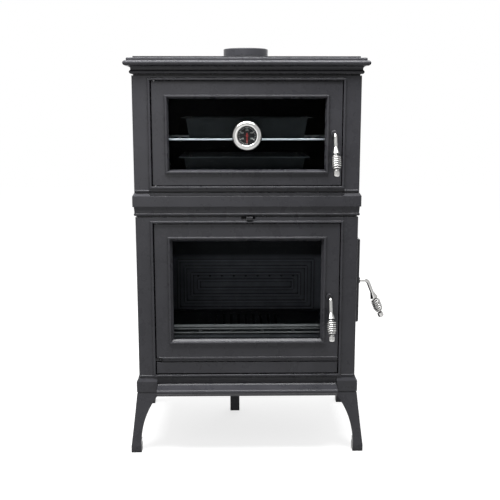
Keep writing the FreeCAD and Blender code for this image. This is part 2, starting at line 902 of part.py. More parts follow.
def baking_tray(low, shift):
    front = landing_back + tray_front_gap

    def rectangle(inset, z):
        x0 = shift - tray_width / 2 + inset
        x1 = shift + tray_width / 2 - inset
        y0 = front + inset
        y1 = front + tray_depth - inset
        return Part.makePolygon([V(x0, y0, z), V(x1, y0, z), V(x1, y1, z), V(x0, y1, z), V(x0, y0, z)])

    high = low + tray_height
    body = Part.makeLoft([rectangle(tray_taper, low), rectangle(0, high)], True, True)
    hollow = Part.makeLoft([rectangle(tray_taper + tray_wall, low + tray_wall), rectangle(tray_wall, high)],
                           True, True)
    rim = box(shift - tray_width / 2 - tray_rim, shift + tray_width / 2 + tray_rim, front - tray_rim,
              front + tray_depth + tray_rim, high - tray_wall, high)
    rim_hole = Part.Face(rectangle(tray_wall, high - tray_wall)).extrude(Z * tray_wall)
    return fuse([body, rim]).cut([hollow, rim_hole])


# Firebox lining, bed, grate and log guard
fire_plate_x = fire_half - panel_wall - fire_plate_inset
fire_plate_back = back_inner - smoke_gap
bed_top = firebed_z + firebed_wall
bed_front = landing_back + door_gap
lining_top = mid_z - lining_gap


def firebed_plate():
    half = fire_half - panel_wall - firebed_side_gap
    bed = box(-half, half, bed_front, firebed_back, firebed_z, bed_top)
    wide = grate_width / 2 + grate_clear
    narrow = grate_width / 2 - grate_lip
    y0 = grate_front
    y1 = grate_front + grate_depth
    seat = box(-wide, wide, y0 - grate_clear, y1 + grate_clear, bed_top - grate_step, bed_top + overrun)
    hole = box(-narrow, narrow, y0 + grate_lip, y1 - grate_lip, firebed_z - overrun, bed_top)
    return bed.cut([seat, hole])


def fire_grate():
    half = grate_width / 2
    low = bed_top - grate_step
    slab = box(-half, half, grate_front, grate_front + grate_depth, low, low + grate_wall)
    slab = round_edges(slab, edge_round, lambda edge: edge_at(edge, Z, low + grate_wall))
    pitch = (grate_width - 2 * grate_margin) / grate_slots
    slots = []
    for index in range(grate_slots):
        x = -half + grate_margin + pitch * (index + 0.5)
        slots.append(box(x - grate_slot / 2, x + grate_slot / 2, grate_front + grate_margin,
                         grate_front + grate_depth - grate_margin, low - overrun, low + grate_wall + overrun))
    return slab.cut(slots)


def back_fire_plate():
    front = fire_plate_back
    plate = box(-fire_plate_x, fire_plate_x, front, front + fire_plate_wall, bed_top, lining_top)
    ribs = []
    room = (panel_pattern_high - panel_pattern_low) / 2 - panel_rib_width
    for index in range(int(room / panel_pattern_pitch) + 1):
        step = panel_pattern_pitch * index
        ribs.append(ring(fire_plate_x - panel_pattern_side - step, bed_top + panel_pattern_low + step,
                         bed_top + panel_pattern_high - step,
                         panel_rib_width, front - panel_rib_rise, front))
    plate = fuse([plate] + ribs)
    holes = []
    for index in range(air_holes):
        x = air_hole_pitch * (index - (air_holes - 1) / 2)
        z = bed_top + air_hole_rise
        holes.append(rod(air_hole_radius, V(x, front - overrun, z),
                         V(x, front + fire_plate_wall + overrun, z)))
    return plate.cut(holes)


def side_fire_plate(side):
    inner = side * (fire_plate_x - fire_plate_wall)
    outer = side * fire_plate_x
    return box(min(inner, outer), max(inner, outer), bed_front + fire_plate_front,
               fire_plate_back - panel_rib_rise, bed_top, lining_top)


def right_fire_plate():
    return side_fire_plate(1).cut(side_opening(0, fire_half))


def baffle_plate():
    return box(-fire_plate_x, fire_plate_x, baffle_front, fire_plate_back + fire_plate_wall, lining_top,
               lining_top + baffle_wall)


def log_guard():
    slot_low = bed_top + guard_low_rail
    slot_high = slot_low + guard_slot
    guard = box(-guard_half, guard_half, guard_front, guard_front + guard_wall, bed_top,
                slot_high + guard_top_rail)
    guard = round_edges(guard, edge_round, lambda edge: edge_at(edge, Z, slot_high + guard_top_rail))
    bays = guard_posts - 1
    bay = (guard_half * 2 - guard_post_width * guard_posts) / bays
    slots = []
    for index in range(bays):
        x = -guard_half + guard_post_width * (index + 1) + bay * index
        slots.append(box(x, x + bay, guard_front - overrun, guard_front + guard_wall + overrun, slot_low,
                         slot_high))
    rail_high = slot_high + guard_top_rail - edge_round
    beads = []
    for low in (slot_low - guard_bead_gap - guard_bead, slot_high + guard_bead_gap, rail_high - guard_bead):
        bead = bead_strip(-guard_half, guard_half, low, guard_bead, guard_bead_rise, guard_bead_round)
        bead.translate(V(0, guard_front, 0))
        beads.append(bead)
    return fuse([guard.cut(slots)] + beads)


# Glazed door leaves with their glass, clips and rope seals
def handle_boss():
    """Round boss that a handle's shaft comes out of, on a face at y zero."""
    boss = rod(boss_radius, V(0, -boss_rise, 0), V(0, leaf_wall / 2, 0))
    return round_edges(boss, boss_round, lambda edge: edge_at(edge, Y, -boss_rise))


def door_leaf(low, high, rope_span, glass_half, glass_low, glass_high, bevel, shaft_x, shaft_z, pins):
    leaf = box(-door_half, door_half, 0, leaf_wall, low, high)
    leaf = round_edges(leaf, hinge_round, lambda edge: edge_runs(edge, Z) and edge_at(edge, X, -door_half))
    bead = bevel + bead_width
    boss = handle_boss()
    boss.translate(V(shaft_x, 0, shaft_z))
    leaf = fuse([leaf, bead_ring(glass_half + bead, glass_low - bead, glass_high + bead), boss])

    def rectangle(grow, y):
        x = glass_half + grow
        return Part.makePolygon([V(-x, y, glass_low - grow), V(x, y, glass_low - grow),
                                 V(x, y, glass_high + grow),
                                 V(-x, y, glass_high + grow), V(-x, y, glass_low - grow)])

    window = Part.makeLoft([rectangle(bevel, 0), rectangle(0, glass_front)], True, True)
    pane = glass_half + glass_lap
    rebate = box(-pane, pane, glass_front, leaf_wall + overrun, glass_low - glass_lap, glass_high + glass_lap)
    bore = rod(handle_rod + pin_clear, V(shaft_x, -overrun, shaft_z),
               V(shaft_x, leaf_wall + overrun, shaft_z))
    groove = rope_ring(*rope_span, leaf_wall + overrun)
    screws = [rod(screw_radius + pin_clear, V(x, leaf_wall - screw_depth, z), V(x, leaf_wall + overrun, z))
              for x, _, z in clip_spots(glass_half, glass_low, glass_high)]
    return leaf.cut([window, rebate, bore, groove] + screws + pin_holes(pins, hinge_pin_radius + pin_clear))


def rope_ring(low, high, back):
    return ring(door_half - rope_inset, low, high, rope_width, leaf_wall - rope_groove, back)


def door_rope(low, high):
    back = landing_front - seat_gap
    rope = rope_ring(low, high, back)
    return round_edges(rope, rope_width * rope_round_share, lambda edge: edge_at(edge, Y, back))


def clip_spots(glass_half, glass_low, glass_high):
    """Places of the clips' and of their screws' middles, over the pane's upper and lower edges."""
    pane = glass_half + glass_lap
    clip_out = clip_height / 2 - clip_lap
    screw_out = (clip_height - clip_lap) / 2
    return [(side * pane * clip_place_share, edge + end * clip_out, edge + end * screw_out) for side in (-1,
                                                                                                         1)
            for edge, end in ((glass_low - glass_lap, -1), (glass_high + glass_lap, 1))]


def door_fasteners(glass_half, glass_low, glass_high):
    """Clips that hold the pane, and their screws."""
    solids = []
    back = leaf_wall + clip_wall
    for x, clip_z, screw_z in clip_spots(glass_half, glass_low, glass_high):
        clip = box(x - clip_width / 2, x + clip_width / 2, leaf_wall, back, clip_z - clip_height / 2,
                   clip_z + clip_height / 2)
        shank = rod(screw_radius, V(x, leaf_wall - screw_depth, screw_z), V(x, back, screw_z))
        head = rod(screw_head, V(x, back, screw_z), V(x, back + screw_head_height, screw_z))
        solids += [clip.cut(shank), fuse([shank, head])]
    return solids


def glass_pane(glass_half, glass_low, glass_high):
    pane = glass_half + glass_lap
    return box(-pane, pane, glass_front, leaf_wall, glass_low - glass_lap, glass_high + glass_lap)


oven_leaf_low = oven_z + oven_door_low
oven_leaf_high = oven_z + oven_door_high
oven_rope = (oven_leaf_low + rope_inset, oven_leaf_high - rope_inset)
oven_pane = (oven_glass_half, oven_z + oven_glass_low, oven_z + oven_glass_high)
oven_handle_z = oven_z + oven_height * oven_handle_share
thermo_z = oven_z + oven_height * thermo_share
fire_leaf_low = fire_z + fire_door_low
fire_leaf_high = fire_z + fire_door_high
fire_notch_top = fire_leaf_low + fire_lug_height + door_gap
fire_rope = (fire_notch_top + door_gap, fire_leaf_high - rope_inset)
fire_pane = (fire_glass_half, fire_z + fire_glass_low, fire_z + fire_glass_high)
fire_handle_z = fire_z + firebox_height * fire_handle_share


def oven_door_leaf():
    return door_leaf(oven_leaf_low, oven_leaf_high, oven_rope, *oven_pane, oven_bevel,
                     oven_handle_x, oven_handle_z, oven_pins)


def oven_door_glass():
    hole = rod(stem_hole, V(0, 0, thermo_z), V(0, leaf_wall + overrun, thermo_z))
    return glass_pane(*oven_pane).cut(hole)


def fire_door_leaf():
    leaf = door_leaf(fire_leaf_low, fire_leaf_high, fire_rope, *fire_pane, fire_bevel,
                     fire_handle_x, fire_handle_z, fire_pins)
    rail_z = fire_z + fire_rail_low
    rail = bead_strip(hinge_x, door_half, rail_z, bead_width, fire_rail_rise, fire_rail_round)
    notch = box(-door_half - overrun, hinge_x + hinge_inset + door_gap, -overrun, leaf_wall + overrun,
                fire_leaf_low - overrun, fire_notch_top)
    return fuse([leaf, rail]).cut(notch)


# Oven thermometer on the door glass
def turned(points, x, z):
    """Solid turned about an axis along y through (x, z), from (radius, y) points or arcs."""
    edges = run_edges(points + [points[0]], lambda r, y: V(x + r, y, z))
    return Part.Face(Part.Wire(edges)).revolve(V(x, 0, z), Y, 360)


def thermometer_bezel():
    dome = (bezel_mouth + (bezel_radius - bezel_mouth) * bezel_dome_share, -bezel_rise * bezel_dome_share)
    points = [(dial_radius, glass_front), (bezel_radius, glass_front),
              (bezel_radius, glass_front - bezel_side),
              (dome, (bezel_mouth + bezel_lip, -bezel_rise)), (bezel_mouth,
                                                               -bezel_rise + bezel_lip), (bezel_mouth,
                                                                                          -lens_rise),
              (lens_radius + pin_clear, -lens_rise), (lens_radius + pin_clear, -lens_rise + lens_wall),
              (dial_radius, -lens_rise + lens_wall)]
    return turned(points, 0, thermo_z)


def thermometer_lens():
    return rod(lens_radius, V(0, -lens_rise, thermo_z), V(0, -lens_rise + lens_wall, thermo_z))


def thermometer_dial():
    disc = rod(dial_radius - pin_clear, V(0, dial_rise, thermo_z), V(0, glass_front, thermo_z))
    stem = rod(stem_radius, V(0, dial_rise, thermo_z), V(0, glass_front + stem_length, thermo_z))
    pivot = rod(pivot_radius, V(0, -pivot_rise, thermo_z), V(0, glass_front, thermo_z))
    return fuse([disc, stem, pivot])


def thermometer_nut():
    nut = hexagon(stem_nut_flats, 0, stem_nut_height, 0, 0)
    nut = nut.cut(rod(stem_radius, V(0, 0, -overrun), V(0, 0, stem_nut_height + overrun)))
    nut.rotate(V(0, 0, 0), X, -90)
    nut.translate(V(0, leaf_wall, thermo_z))
    return nut


def thermometer_needle():
    back = dial_rise - needle_gap
    front = back - needle_wall
    hub = rod(needle_hub, V(0, front, thermo_z), V(0, back, thermo_z))
    steps = [(-needle_width / 2, needle_tail), (needle_width / 2, needle_tail),
             (needle_tip / 2, -needle_length),
             (-needle_tip / 2, -needle_length)]
    hand = prism(steps, lambda u, v: V(u, front, thermo_z + v), Y * needle_wall)
    return fuse([hub, hand]).cut(rod(pivot_radius + pin_clear, V(0, front - overrun, thermo_z),
                                     V(0, back + overrun, thermo_z)))


# Handles: a bent rod with a bell, a coil grip, an end cap and a latch tongue
def unit(vector):
    return V(vector).normalize()


def tangent_arc(start, heading, end):
    """Arc that leaves a point along a heading and reaches an end, with its radius."""
    chord = end - start
    side = chord - heading * chord.dot(heading)
    radius = chord.Length ** 2 / (2 * side.Length)
    centre = start + unit(side) * radius
    middle = centre + unit(start + end - centre * 2) * radius
    return Part.Arc(start, middle, end).toShape(), radius


def biarc(start, heading, end, leaving):
    """Two tangent arcs between two points with given headings, and their radii."""
    span = end - start
    both = heading + leaving
    straight = 2 * (1 - heading.dot(leaving))
    lean = span.dot(both)
    reach = (-lean + math.sqrt(lean * lean + straight * span.dot(span))) / straight
    joint = (start + heading * reach + end - leaving * reach) * 0.5
    first, radius_a = tangent_arc(start, heading, joint)
    back, radius_b = tangent_arc(end, leaving * -1, joint)
    middle = back.valueAt((back.FirstParameter + back.LastParameter) / 2)
    second = Part.Arc(joint, middle, end).toShape()
    return [first, second], min(radius_a, radius_b)


bell_end = bell_start + bell_length
coil_end = bell_end + coil_length


def coil_place(turn):
    """Point of the coil's centre line after some turns, on the grip's own axis along z."""
    ease = max(0.0, min(1.0, turn / coil_first_turns, (coil_turns - turn) / coil_last_turns))
    radius = coil_end_radius + (coil_mid_radius - coil_end_radius) * math.sin(math.pi / 2 * ease)
    angle = 2 * math.pi * turn
    height = bell_end + coil_tail + (coil_length - coil_tail * 2) * turn / coil_turns
    return V(radius * math.cos(angle), radius * math.sin(angle), height)


def coil_heading(turn):
    ahead = coil_place(min(turn + coil_step_share, coil_turns))
    return unit(ahead - coil_place(max(turn - coil_step_share, 0)))


def handle_coil():
    """Spring grip: one round wire wound in a barrel, its ends straight into the bell and the cap."""
    def end_point(turn, height):
        angle = 2 * math.pi * turn
        return V(coil_end_radius * math.cos(angle), coil_end_radius * math.sin(angle), height)

    start = end_point(-coil_lead_share, bell_end - grip_recess_depth)
    start_bend = start + Z * coil_wire
    finish = end_point(coil_turns + coil_lead_share, coil_end + grip_recess_depth)
    finish_bend = finish - Z * coil_wire
    stations = [(start_bend, Z)]
    quarters = round(coil_turns * 4)
    for index in range(quarters + 1):
        stations.append((coil_place(index / 4), coil_heading(index / 4)))
    stations.append((finish_bend, Z))
    edges = [Part.LineSegment(start, start_bend).toShape()]
    tightest = coil_mid_radius
    for (a, heading), (b, leaving) in zip(stations, stations[1:]):
        arcs, radius = biarc(a, heading, b, leaving)
        edges += arcs
        tightest = min(tightest, radius)
    edges.append(Part.LineSegment(finish_bend, finish).toShape())
    path = Part.Wire(edges)
    section = Part.Wire(Part.makeCircle(coil_wire / 2, start, Z))
    coil = path.makePipeShell([section], True, False)
    points = [point for edge in edges for point in edge.discretize(6)[:-1]]
    gap = coil_mid_radius
    skip = 24
    for index, point in enumerate(points):
        for other in points[index + skip:]:
            gap = min(gap, point.distanceToPoint(other) - coil_wire)
    expected = math.pi * coil_wire ** 2 / 4 * path.Length
    print("coil: least gap", round(gap, 2), "tightest bend", round(tightest, 2), "volume share",
          round(coil.Volume / expected, 4))
    return coil


def turned_up(points):
    """Solid turned about the grip's axis along z, from (radius, height) points or arcs."""
    edges = run_edges(points + [points[0]], lambda r, h: V(r, 0, h))
    return Part.Face(Part.Wire(edges)).revolve(V(0, 0, 0), Z, 360)


def lean(shape):
    """Grip pieces turned from their own axis to the handle's lean, hanging from the bend."""
    shape.rotate(V(0, 0, 0), X, 180 - handle_lean_deg)
    shape.translate(V(0, -handle_reach, 0))
    return shape


def handle_rod_shape():
    turn = math.radians(90 - handle_lean_deg)
    cut_back = handle_bend * math.tan(turn / 2)
    down = V(0, -math.sin(math.radians(handle_lean_deg)), -math.cos(math.radians(handle_lean_deg)))
    corner = V(0, -handle_reach, 0)
    tail = V(0, tongue_back + tongue_wall + shaft_tail, 0)
    bend_in = corner + Y * cut_back
    bend_out = corner + down * cut_back
    arc = tangent_arc(bend_in, Y * -1, bend_out)[0]
    grip_top = corner + down * (bell_start + coil_wire)
    path = Part.Wire([Part.LineSegment(tail, bend_in).toShape(), arc,
                      Part.LineSegment(bend_out, grip_top).toShape()])
    stick = path.makePipeShell([Part.Wire(Part.makeCircle(handle_rod, tail, Y))], True, False)
    cup_end = bell_end - grip_recess_depth
    core_end = coil_end + cap_length - cap_seat
    bell = turned_up([(0, bell_start), (handle_rod, bell_start), (bell_radius, bell_end),
                      (grip_recess, bell_end), (grip_recess, cup_end), (handle_core, cup_end),
                      (handle_core, core_end), (0, core_end)])
    return fuse([stick, lean(bell)])


def handle_cap():
    """Ferrule over the coil's end: straight round its cup, then a rounded end."""
    shoulder = (cap_radius * cap_shoulder_share, coil_end + cap_length * cap_shoulder_reach_share)
    cup_end = coil_end + grip_recess_depth
    tip = coil_end + cap_length
    straight_end = coil_end + cap_length * cap_straight_share
    seat = tip - cap_seat
    outside = [(grip_recess, coil_end), (cap_radius, coil_end), (cap_radius, straight_end),
               (shoulder, (cap_tip, tip)), (0, tip)]
    inside = [(0, seat), (handle_core, seat), (handle_core, cup_end), (grip_recess, cup_end)]
    return lean(turned_up(outside + inside))


def handle_tongue():
    hub = rod(tongue_hub, V(0, tongue_back, 0), V(0, tongue_back + tongue_wall, 0))
    arm = box(-tongue_width / 2, tongue_width / 2, tongue_back, tongue_back + tongue_wall, 0, tongue_length)
    return fuse([hub, arm]).cut(rod(handle_rod, V(0, 0, 0), V(0, tongue_back + tongue_wall + overrun, 0)))


handle_pieces = {"rod": handle_rod_shape(), "coil": lean(handle_coil()), "cap": handle_cap(),
                 "tongue": handle_tongue()}


def placed_handle(name, turn, place):
    """The four handle pieces, turned about z and moved to their shaft's place."""
    pieces = {}
    for piece, shape in handle_pieces.items():
        copy = shape.copy()
        copy.rotate(V(0, 0, 0), Z, turn)
        copy.translate(place)
        pieces[name + "_handle_" + piece] = copy
    return pieces


# Side loading door
def side_door_leaf():
    low = fire_z + side_door_low
    high = fire_z + side_door_high
    inner = side_x - leaf_wall
    leaf = box(inner, side_x, side_door_front, side_door_back, low, high)
    leaf = round_edges(leaf, side_door_round, lambda edge: edge_at(edge, X, side_x))
    knuckles = []
    bores = []
    for z in knuckle_lows:
        knuckles.append(rod(knuckle_radius, V(side_axis_x, side_axis_y, z),
                            V(side_axis_x, side_axis_y, z + knuckle_height)))
        knuckles.append(box(side_axis_x - hinge_pin_radius, side_axis_x + hinge_pin_radius,
                            side_door_back - side_door_round, side_axis_y,
                            z, z + knuckle_height))
        bores.append(rod(side_pin_radius + pin_clear, V(side_axis_x, side_axis_y, z - overrun),
                         V(side_axis_x, side_axis_y, z + knuckle_height + overrun)))
    z = side_handle_z
    bores.append(rod(handle_rod + pin_clear, V(inner - overrun, side_handle_back, z),
                     V(side_x + overrun, side_handle_back, z)))
    boss = handle_boss()
    boss.rotate(V(0, 0, 0), Z, 90)
    boss.translate(V(side_x, side_handle_back, z))
    return fuse([leaf, boss] + knuckles).cut(bores + [side_rope_ring(inner - overrun)])


def side_rope_ring(inner):
    low = fire_z + side_door_low + side_rope_inset
    high = fire_z + side_door_high - side_rope_inset
    front = side_door_front + side_rope_inset
    back = side_door_back - side_rope_inset
    outer_x = side_x - leaf_wall + rope_groove
    band = box(inner, outer_x, front, back, low, high)
    return band.cut(box(inner - overrun, outer_x + overrun, front + rope_width, back - rope_width,
                        low + rope_width, high - rope_width))


def side_door_rope():
    inner = fire_half + seat_gap
    return round_edges(side_rope_ring(inner), rope_width * rope_round_share,
                       lambda edge: edge_at(edge, X, inner))


# Secondary air slide and ash drawer
def air_slide():
    low = fire_ring_top + seat_gap
    back = front_wall + seat_gap + slide_bar_wall
    bar = box(-slide_bar_half, slide_bar_half, front_wall + seat_gap, back, low, low + slide_bar_height)
    tab_low = low + slide_tab_low
    tab_high = tab_low + slide_tab_wall
    neck = box(slide_tab_left, slide_tab_right, -slide_tab_rise, back, tab_low, tab_high)
    flap = box(slide_tab_left, slide_tab_right, -slide_tab_rise, -slide_tab_rise + slide_flap_wall,
               tab_low - slide_flap_drop, tab_high)
    flap = round_edges(fuse([neck, flap]), edge_round, lambda edge: edge_at(edge, Y, -slide_tab_rise))
    return fuse([bar, flap])


def ash_drawer_front():
    front = box(-door_half, door_half, 0, leaf_wall, fire_z + ash_front_low, fire_z + ash_front_high)
    return round_edges(front, edge_round, lambda edge: edge_at(edge, Y, 0))


def ash_pan():
    half = ash_opening_half - pan_gap
    low = fire_z + pan_rail_height + seat_gap
    high = fire_z + ash_opening_high - seat_gap * 3
    back = back_inner - pan_back_gap
    hollow = box(-half + pan_wall, half - pan_wall, leaf_wall + pan_wall, back - pan_wall, low + pan_wall,
                 high + overrun)
    return box(-half, half, leaf_wall, back, low, high).cut(hollow)


# All the pieces by name
nodes = {
    "top_plate": top_plate(),
    "flue_collar": flue_collar(),
    "frame_fasteners": frame_fasteners(),
    "oven_front_plate": oven_front_plate(),
    "oven_left_panel": side_panel(oven_half, -1, oven_z, oven_height),
    "oven_right_panel": side_panel(oven_half, 1, oven_z, oven_height),
    "oven_back_panel": back_panel(oven_half, oven_z, oven_height),
    "oven_liner": oven_liner(),
    "oven_rack": oven_rack(),
    "upper_tray": baking_tray(rack_z + rack_wire, 0),
    "lower_tray": baking_tray(liner_low, lower_tray_shift),
    "mid_plate": mid_plate(),
    "firebox_front_plate": firebox_front_plate(),
    "firebox_left_panel": firebox_side_panel(-1),
    "firebox_right_panel": firebox_right_panel(),
    "firebox_back_panel": back_panel(fire_half, fire_z, firebox_height),
    "back_fire_plate": back_fire_plate(),
    "left_fire_plate": side_fire_plate(-1),
    "right_fire_plate": right_fire_plate(),
    "baffle_plate": baffle_plate(),
    "firebed_plate": firebed_plate(),
    "fire_grate": fire_grate(),
    "log_guard": log_guard(),
    "base_plate": base_plate(),
    "ash_lip": ash_lip(),
    "front_left_leg": leg(-1, -1),
    "front_right_leg": leg(1, -1),
    "rear_left_leg": leg(-1, 1),
    "rear_right_leg": leg(1, 1),
    "centre_foot": centre_foot(),
    "hinge_pins": hinge_pins(),
    "oven_door_leaf": oven_door_leaf(),
    "oven_door_glass": oven_door_glass(),
    "oven_door_fasteners": door_fasteners(*oven_pane) + [thermometer_nut()],
    "oven_door_rope": door_rope(*oven_rope),
    "thermometer_bezel": thermometer_bezel(),
    "thermometer_lens": thermometer_lens(),
    "thermometer_dial": thermometer_dial(),
    "thermometer_needle": thermometer_needle(),
    "fire_door_leaf": fire_door_leaf(),
    "fire_door_glass": glass_pane(*fire_pane),
    "fire_door_fasteners": door_fasteners(*fire_pane),
    "fire_door_rope": door_rope(*fire_rope),
    "side_door_leaf": side_door_leaf(),
    "side_door_rope": side_door_rope(),
    "air_slide": air_slide(),
    "ash_drawer_front": ash_drawer_front(),
    "ash_pan": ash_pan(),
}
nodes.update(placed_handle("oven", 0, V(oven_handle_x, 0, oven_handle_z)))
nodes.update(placed_handle("fire", 0, V(fire_handle_x, 0, fire_handle_z)))
nodes.update(placed_handle("side", 90, V(side_x, side_handle_back, side_handle_z)))

# The origin is moved to the middle of the whole stove's footprint, on the floor
solids = [solid for shape in nodes.values() for solid in (shape if isinstance(shape, list) else [shape])]
whole = Part.makeCompound(solids)
bounds = whole.optimalBoundingBox()
origin_shift = V(-bounds.Center.x, -bounds.Center.y, -bounds.ZMin)

os.makedirs("parts", exist_ok=True)
for name, shape in nodes.items():
    solid = Part.makeCompound(shape) if isinstance(shape, list) else shape
    solid.translate(origin_shift)
    solid.exportStep("parts/" + name + ".step")
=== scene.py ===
import json
import math

import bpy
from mathutils import Matrix, Vector


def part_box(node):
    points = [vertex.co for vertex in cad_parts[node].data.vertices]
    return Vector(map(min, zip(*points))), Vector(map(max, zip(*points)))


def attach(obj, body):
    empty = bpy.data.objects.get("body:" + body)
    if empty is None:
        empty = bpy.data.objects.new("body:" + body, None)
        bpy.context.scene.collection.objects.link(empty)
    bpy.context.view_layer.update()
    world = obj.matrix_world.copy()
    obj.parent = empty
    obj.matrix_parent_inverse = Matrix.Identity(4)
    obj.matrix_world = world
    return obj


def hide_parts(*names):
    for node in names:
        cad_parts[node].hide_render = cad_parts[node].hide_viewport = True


# Looks of a freestanding cast iron wood stove, in metres, in the frame of its solids.

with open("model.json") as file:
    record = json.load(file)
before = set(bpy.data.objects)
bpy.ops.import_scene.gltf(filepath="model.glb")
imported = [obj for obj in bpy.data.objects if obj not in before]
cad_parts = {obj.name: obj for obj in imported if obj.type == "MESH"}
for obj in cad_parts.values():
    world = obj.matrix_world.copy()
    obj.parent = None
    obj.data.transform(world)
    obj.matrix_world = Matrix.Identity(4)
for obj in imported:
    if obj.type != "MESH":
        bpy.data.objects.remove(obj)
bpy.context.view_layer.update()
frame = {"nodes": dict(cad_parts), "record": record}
nodes = frame["nodes"]

# Sizes that the scene shares with the solids
leaf_wall = 0.012
tongue_back = 0.025
tongue_hub = 0.007
handle_lean_deg = 22.0
handle_reach = 0.026
bell_end = 0.053
coil_length = 0.046
coil_tail = 0.0035
coil_recess = 0.0075
coil_turns = 7.25
coil_wire = 0.0038
coil_end_radius = 0.0046
coil_mid_radius = 0.0111
coil_first_turns = 1.25
coil_last_turns = 2.5
coil_lead_share = 0.2
needle_sweep_deg = 300.0

# Fineness of the coil and rope meshes
coil_steps_per_turn = 36
coil_sides = 16
coil_lead_steps = 14
coil_nudge_turns = 0.001
rope_step = 0.0016
rope_sides = 18
rope_turn_steps = 6

# Rope seals
rope_width = 0.0055
rope_corner = 0.004
rope_strand_pitch = 0.009
rope_strands = 4
rope_relief_share = 0.1

# Marks on the thermometer's dial
dial_inset = 0.0005
mark_lift = 0.00025
tick_outer = 0.0222
tick_long = 0.0042
tick_short = 0.0024
tick_wide = 0.0019
tick_thin = 0.0011
number_radius = 0.0143
number_size = 0.0052
number_steps = 5
number_value = 100
ticks_per_number = 5

# Values shared by the finishes
patch_shares = (0.3, 0.7)
rough_patch_times = 2
noise_detail = 3.0
noise_roughness = 0.55
bevel_samples = 6
openness_samples = 16
darker_above_share = 0.12
smear_scale = 9.0
smear_rough = (0.015, 0.04)
slant_blend = 0.25
weave_scale = 1400.0
weave_detail = 4.0
weave_shares = (0.35, 0.65)
weave_strength = 0.6
weave_depth = 0.0004
rope_rough = 0.95

# Colour sockets of the mix node
mix_factor = 0
mix_first = 6
mix_second = 7
mix_result = 2

# Opaque finishes; the crevice values set painted shade, which darkens the colour in crevices and corners
looks = {
    "painted_iron": {
        "dark": (0.036, 0.036, 0.041), "light": (0.044, 0.044, 0.05), "rough": (0.25, 0.32),
        "grain_scale": 700.0, "grain_strength": 0.12, "grain_depth": 0.0003, "edge": 0.0022,
        "specular": 0.18, "crevice_shade": 0.95, "crevice_shade_reach": 0.02},
    "fire_iron": {
        "dark": (0.19, 0.188, 0.21), "light": (0.25, 0.247, 0.275), "rough": (0.5, 0.65), "patch": 25.0,
        "grain_scale": 300.0, "grain_depth": 0.0004, "specular": 0.06, "crevice_shade": 0.92,
        "crevice_shade_reach": 0.012, "crevice_shade_span": (0.55, 0.97), "darker_above_heights": (0.468, 0.484)},
    "worn_iron": {
        "dark": (0.17, 0.167, 0.163), "light": (0.225, 0.221, 0.215), "rough": (0.3, 0.4), "patch": 25.0,
        "grain_scale": 300.0, "grain_strength": 0.15, "grain_depth": 0.0003, "specular": 0.4,
        "crevice_shade": 0.96, "crevice_shade_reach": 0.008, "crevice_shade_span": (0.45, 0.9)},
    # Dark iron: soot on the grate and bed plate, and painted shade on the air slide
    "soot_and_shade_iron": {
        "dark": (0.03, 0.03, 0.032), "light": (0.046, 0.046, 0.049), "rough": (0.5, 0.65), "patch": 25.0,
        "grain_scale": 300.0, "grain_depth": 0.0004, "specular": 0.06},
    "bright_nickel": {
        "dark": (0.39, 0.387, 0.38), "light": (0.49, 0.486, 0.477), "rough": (0.18, 0.26), "metallic": 1.0,
        "patch": 60.0, "grain_strength": 0.03, "edge": 0.0006, "crevice_shade": 0.97, "crevice_shade_reach": 0.007},
    "plain_steel": {
        "dark": (0.4, 0.4, 0.41), "light": (0.5, 0.5, 0.51), "rough": (0.3, 0.42), "metallic": 1.0,
        "patch": 90.0, "grain_strength": 0.08, "edge": 0.0004},
    "rack_steel": {
        "dark": (0.7, 0.72, 0.75), "light": (0.82, 0.84, 0.87), "rough": (0.3, 0.42), "metallic": 1.0,
        "patch": 70.0, "grain_strength": 0.05, "edge": 0.0003},
    "dark_enamel": {
        "dark": (0.002, 0.002, 0.0023), "light": (0.0035, 0.0035, 0.004), "rough": (0.3, 0.4), "patch": 12.0,
        "grain_scale": 400.0, "grain_strength": 0.06, "specular": 0.02},
    "tray_steel": {
        "dark": (0.031, 0.035, 0.037), "light": (0.042, 0.0475, 0.05), "rough": (0.3, 0.4), "patch": 40.0,
        "grain_strength": 0.06, "edge": 0.0006, "specular": 0.1},
    "pan_steel": {
        "dark": (0.22, 0.22, 0.225), "light": (0.32, 0.32, 0.325), "rough": (0.35, 0.5), "metallic": 0.9,
        "patch": 30.0, "grain_strength": 0.08, "edge": 0.0006},
    "dial_black": {
        "dark": (0.008, 0.008, 0.009), "light": (0.014, 0.014, 0.015), "rough": (0.4, 0.5), "patch": 120.0,
        "grain_strength": 0.04, "edge": 0.0003, "specular": 0.2},
    "dial_white": {
        "dark": (0.86, 0.86, 0.84), "light": (0.93, 0.93, 0.91), "rough": (0.5, 0.6), "patch": 200.0,
        "grain_strength": 0.03, "edge": 0.0001},
    "needle_red": {
        "dark": (0.5, 0.022, 0.018), "light": (0.6, 0.03, 0.024), "rough": (0.3, 0.4), "patch": 200.0,
        "grain_strength": 0.03, "edge": 0.0002},
}

# Glass and rope finishes
glass_looks = {
    "door_glass": {"tint": (0.84, 0.86, 0.87), "shine": 0.02},
    "lens_glass": {"tint": (0.97, 0.98, 0.98), "shine": 0.03},
}
rope_dark = (0.012, 0.012, 0.012)
rope_light = (0.035, 0.034, 0.033)

# Pieces whose finish differs from that of their slot; the air slide is made dark as painted shade for its
# slot, and the grate and bed plate are dark with soot
own_finish = {"log_guard": "worn_iron", "fire_grate": "soot_and_shade_iron", "firebed_plate": "soot_and_shade_iron",
              "air_slide": "soot_and_shade_iron"}

# Floor and world
floor_size = 14.0
floor_drift_scale = 0.5
floor_matt = (0.34, 0.36)
floor_bounce = (0.24, 0.28)
# Glow of the seen floor where covered and in the open; the lower end is a painted shadow
floor_glow_and_painted_shadow = (0.71, 0.96)
shadow_reach = 0.5
sky_low = (0.75, 0.75, 0.76)
sky_high = (1.0, 1.0, 1.0)
sky_high_share = 0.6
sky_strength = 0.11
white = (1.0, 1.0, 1.0, 1.0)

